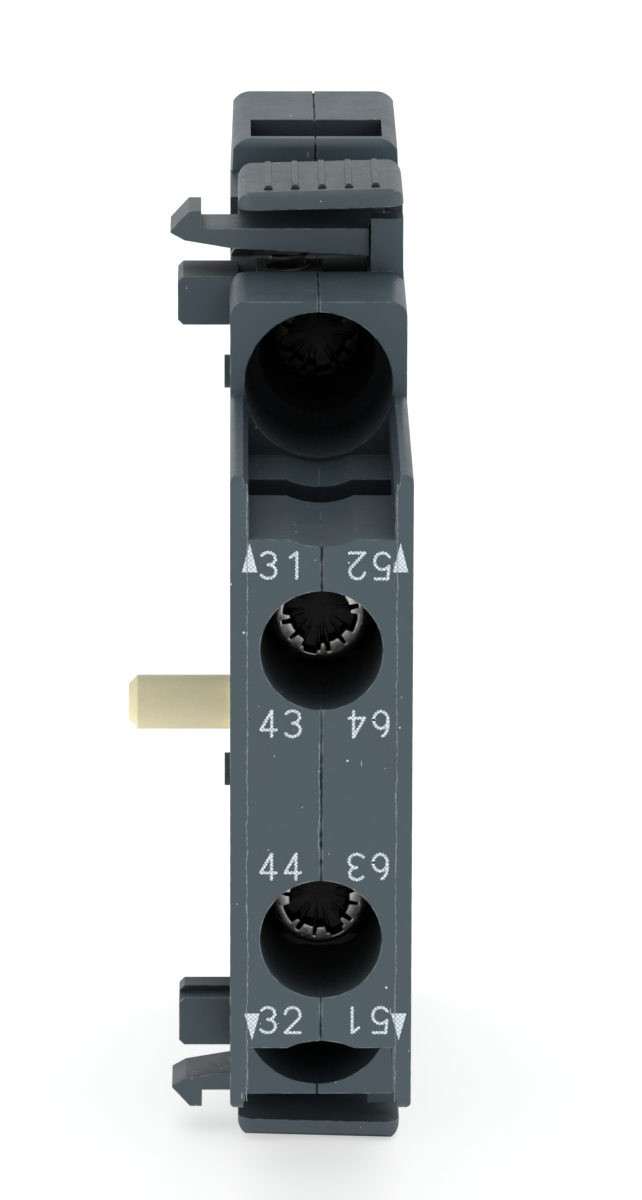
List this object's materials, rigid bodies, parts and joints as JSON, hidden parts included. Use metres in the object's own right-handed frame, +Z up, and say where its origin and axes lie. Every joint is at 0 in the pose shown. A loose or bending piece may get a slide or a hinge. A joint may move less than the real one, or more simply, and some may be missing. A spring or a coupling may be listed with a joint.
{
  "type": "auxiliary contact block",
  "caption": "Slim side-mounted auxiliary contact block with screw terminals, spring-loaded actuator pin, guide pegs and sprung hook latches with ribbed thumb grips.",
  "frame": {"origin": "axis of the actuator pin at rest, on the flat mating side that lies against the contactor", "axes": "-X out of the mating side along the pin, -Y out of the numbered front face, +Z up along the row of terminals"},
  "size_m": [0.0158, 0.0565, 0.0572],
  "materials": {
    "housing": "fine matte moulded",
    "latch": "fine matte moulded",
    "ivory": "smooth satin",
    "screw": "nickel plated, slightly rough",
    "washer": "nickel plated",
    "strip": "stamped",
    "tip": "silver contact alloy",
    "spring": "drawn wire"
  },
  "bodies": {
    "housing": {"left_shell": "housing", "right_shell": "housing", "terminal_31": "strip", "terminal_32": "strip", "terminal_43": "strip", "terminal_44": "strip", "no_fixed_tips": "tip", "nc_fixed_tips": "tip", "return_spring": "spring", "upper_latch_spring": "spring", "lower_latch_spring": "spring"},
    "slider": {"actuator": "ivory", "no_contact_spring": "spring", "nc_contact_spring": "spring"},
    "closing_bridge": {"no_bridge": "strip", "no_bridge_tips": "tip"},
    "opening_bridge": {"nc_bridge": "strip", "nc_bridge_tips": "tip"},
    "upper_latch": {"upper_latch": "latch"},
    "lower_latch": {"lower_latch": "latch"},
    "washer_31": {"washer_31": "washer"},
    "washer_32": {"washer_32": "washer"},
    "washer_43": {"washer_43": "washer"},
    "washer_44": {"washer_44": "washer"},
    "screw_31": {"screw_31": "screw"},
    "screw_32": {"screw_32": "screw"},
    "screw_43": {"screw_43": "screw"},
    "screw_44": {"screw_44": "screw"}
  },
  "joints": [
    {"name": "actuator_slide", "type": "slide", "parent": "housing", "child": "slider", "axis": [0, 1, 0], "range_m": [0, 0.004], "stiffness_N_per_m": 400, "springref_m": -0.001, "deforming": ["return_spring"]},
    {"name": "closing_bridge_slide", "type": "slide", "parent": "slider", "child": "closing_bridge", "axis": [0, -1, 0], "range_m": [0, 0.001], "deforming": ["no_contact_spring"]},
    {"name": "opening_bridge_slide", "type": "slide", "parent": "slider", "child": "opening_bridge", "axis": [0, -1, 0], "range_m": [0, 0.001], "deforming": ["nc_contact_spring"]},
    {"name": "upper_latch_press", "type": "hinge", "parent": "housing", "child": "upper_latch", "pos_m": [0.0089, 0.01, 0.0245], "axis": [0, -1, 0], "range_deg": [0, 6], "stiffness_Nm_per_rad": 0.05, "deforming": ["upper_latch_spring"]},
    {"name": "lower_latch_press", "type": "hinge", "parent": "housing", "child": "lower_latch", "pos_m": [0.0089, 0.01, -0.0245], "axis": [0, 1, 0], "range_deg": [0, 6], "stiffness_Nm_per_rad": 0.05, "deforming": ["lower_latch_spring"]},
    {"name": "clamp_31", "type": "slide", "parent": "housing", "child": "washer_31", "axis": [0, 1, 0], "range_m": [0, 0.0025]},
    {"name": "clamp_32", "type": "slide", "parent": "housing", "child": "washer_32", "axis": [0, 1, 0], "range_m": [0, 0.0025]},
    {"name": "clamp_43", "type": "slide", "parent": "housing", "child": "washer_43", "axis": [0, 1, 0], "range_m": [0, 0.0025]},
    {"name": "clamp_44", "type": "slide", "parent": "housing", "child": "washer_44", "axis": [0, 1, 0], "range_m": [0, 0.0025]},
    {"name": "turn_31", "type": "hinge", "parent": "washer_31", "child": "screw_31", "pos_m": [0.005, 0.0116, 0.0186], "axis": [0, 1, 0], "range_deg": [0, 1800]},
    {"name": "turn_32", "type": "hinge", "parent": "washer_32", "child": "screw_32", "pos_m": [0.005, 0.0116, -0.0186], "axis": [0, 1, 0], "range_deg": [0, 1800]},
    {"name": "turn_43", "type": "hinge", "parent": "washer_43", "child": "screw_43", "pos_m": [0.005, -0.0116, 0.00823], "axis": [0, 1, 0], "range_deg": [0, 1800]},
    {"name": "turn_44", "type": "hinge", "parent": "washer_44", "child": "screw_44", "pos_m": [0.005, -0.0116, -0.00823], "axis": [0, 1, 0], "range_deg": [0, 1800]}
  ],
  "couplings": [
    {"joint": "closing_bridge_slide", "follows": "actuator_slide", "ratio": 0.25},
    {"joint": "opening_bridge_slide", "follows": "actuator_slide", "ratio": 0.25},
    {"joint": "turn_31", "follows": "clamp_31", "rad_per_m": 12566},
    {"joint": "turn_32", "follows": "clamp_32", "rad_per_m": 12566},
    {"joint": "turn_43", "follows": "clamp_43", "rad_per_m": 12566},
    {"joint": "turn_44", "follows": "clamp_44", "rad_per_m": 12566}
  ]
}
